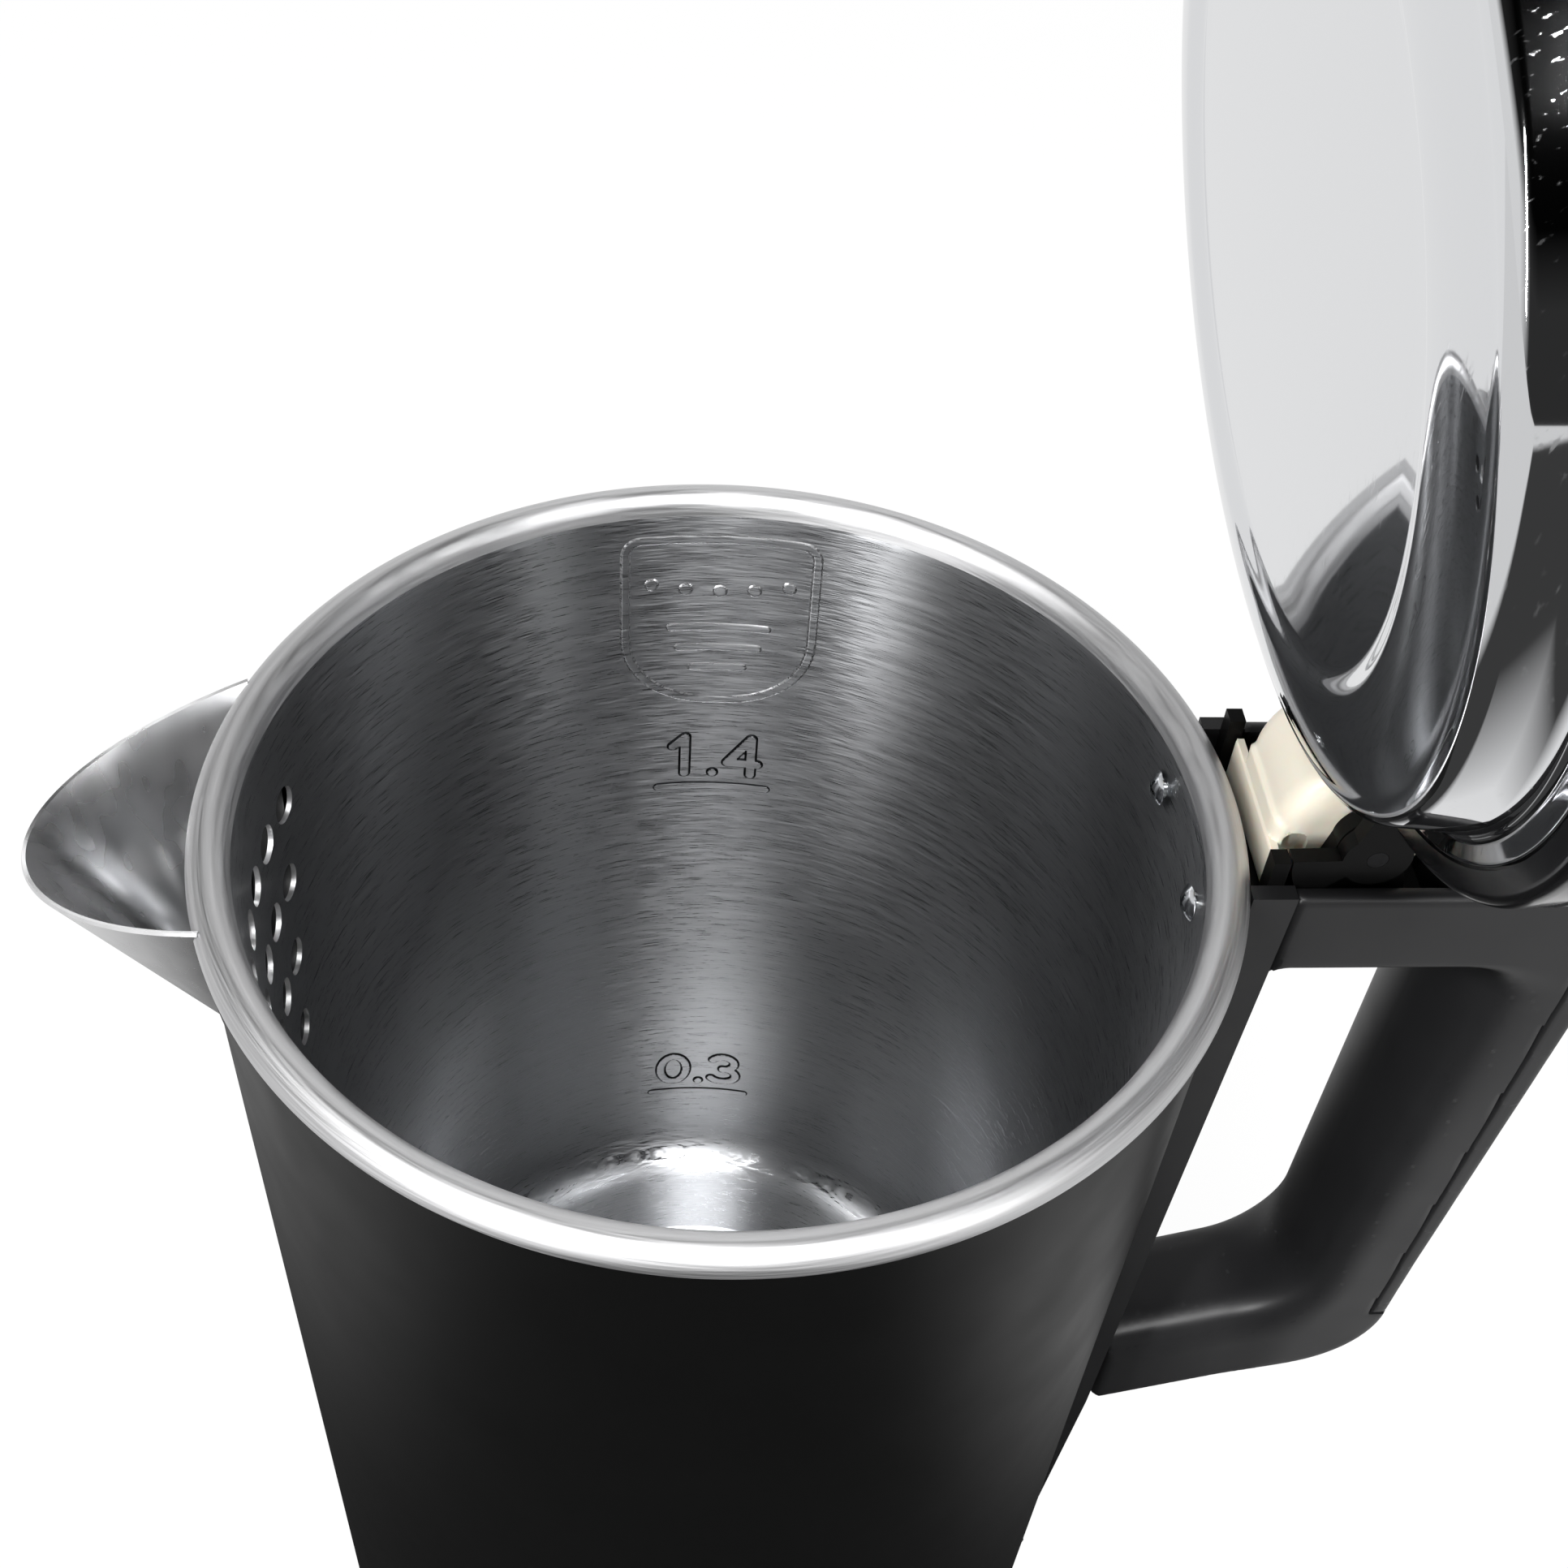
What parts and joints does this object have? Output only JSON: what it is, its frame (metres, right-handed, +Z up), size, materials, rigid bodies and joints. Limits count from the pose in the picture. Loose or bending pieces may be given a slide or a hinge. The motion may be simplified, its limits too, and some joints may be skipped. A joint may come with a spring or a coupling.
{
  "type": "electric jug kettle",
  "caption": "Cordless electric jug kettle with a double wall body, perforated spout strainer, sprung hinged lid, loop handle and a round connector underneath.",
  "frame": {"origin": "centre of the round connector's mouth, at the underside of the base plate", "axes": "+Z up along the body axis, +X towards the handle, -X towards the spout"},
  "size_m": [0.2309, 0.1542, 0.4215],
  "materials": {
    "steel_satin": "satin brushed stainless steel",
    "steel_brushed": "brushed stainless sheet",
    "steel_mirror": "mirror polished stainless steel",
    "black_jacket": "semi-gloss black paint",
    "black_satin": "fine satin moulded plastic",
    "black_gloss": "smooth glossy moulded plastic",
    "ivory_plastic": "natural acetal, as moulded",
    "rubber_black": "moulded rubber",
    "rubber_red": "silicone rubber",
    "silicone_tube": "clear silicone, cloudy",
    "chrome_screw": "nickel plated",
    "spring_steel": "drawn wire",
    "aluminium_cast": "cast and turned",
    "brass_strip": "rolled strip",
    "wire_sleeve": "extruded sleeve"
  },
  "bodies": {
    "jug": {"inner_pot": "steel_satin", "outer_shell": "black_jacket", "spout": "steel_brushed", "spout_gasket": "rubber_black", "handle_rail": "black_satin", "handle_shell": "black_satin", "handle_cover": "black_satin", "handle_top_cover": "black_satin", "handle_screws": "chrome_screw", "cover_screws": "chrome_screw", "rail_screws": "chrome_screw", "hinge_block": "black_gloss", "hinge_pin": "chrome_screw", "spring_drum": "ivory_plastic", "lid_spring": "spring_steel", "latch_spring": "spring_steel", "button_spring": "spring_steel", "heating_plate": "aluminium_cast", "heating_element": "spring_steel", "bimetal_discs": "brass_strip", "thermal_control": "ivory_plastic", "control_screws": "chrome_screw", "connector_socket": "black_gloss", "socket_contacts": "brass_strip", "pot_cradle": "black_satin", "pot_gasket": "rubber_red", "base_plate": "black_satin", "base_screws": "chrome_screw", "feet": "rubber_black", "steam_tube": "silicone_tube", "switch_bracket": "ivory_plastic", "switch_pin": "chrome_screw", "micro_switch": "black_satin", "lead_wires": "wire_sleeve"},
    "lid": {"lid_plate": "steel_mirror", "lid_ring": "black_gloss", "lid_cover": "steel_brushed", "hinge_arm": "black_gloss", "lid_screws": "chrome_screw"},
    "latch": {"latch_slider": "black_satin"},
    "button": {"release_button": "black_satin"},
    "switch": {"switch_lever": "black_gloss"}
  },
  "joints": [
    {"name": "lid_hinge", "type": "hinge", "parent": "jug", "child": "lid", "pos_m": [0.0902, 0, 0.2534], "axis": [0, 1, 0], "range_deg": [-80, 0], "stiffness_Nm_per_rad": 0.12, "springref_deg": 119.75},
    {"name": "release_press", "type": "slide", "parent": "jug", "child": "button", "axis": [0, 0, -1], "range_m": [0, 0.003], "stiffness_N_per_m": 400, "springref_m": -0.001, "deforming": ["button_spring"]},
    {"name": "latch_slide", "type": "slide", "parent": "jug", "child": "latch", "axis": [1, 0, 0], "range_m": [0, 0.003]},
    {"name": "switch_rock", "type": "hinge", "parent": "jug", "child": "switch", "pos_m": [0.061, 0, 0.013], "axis": [0, 1, 0], "range_deg": [0, 9]}
  ],
  "couplings": [
    {"joint": "latch_slide", "follows": "release_press", "ratio": 1}
  ]
}
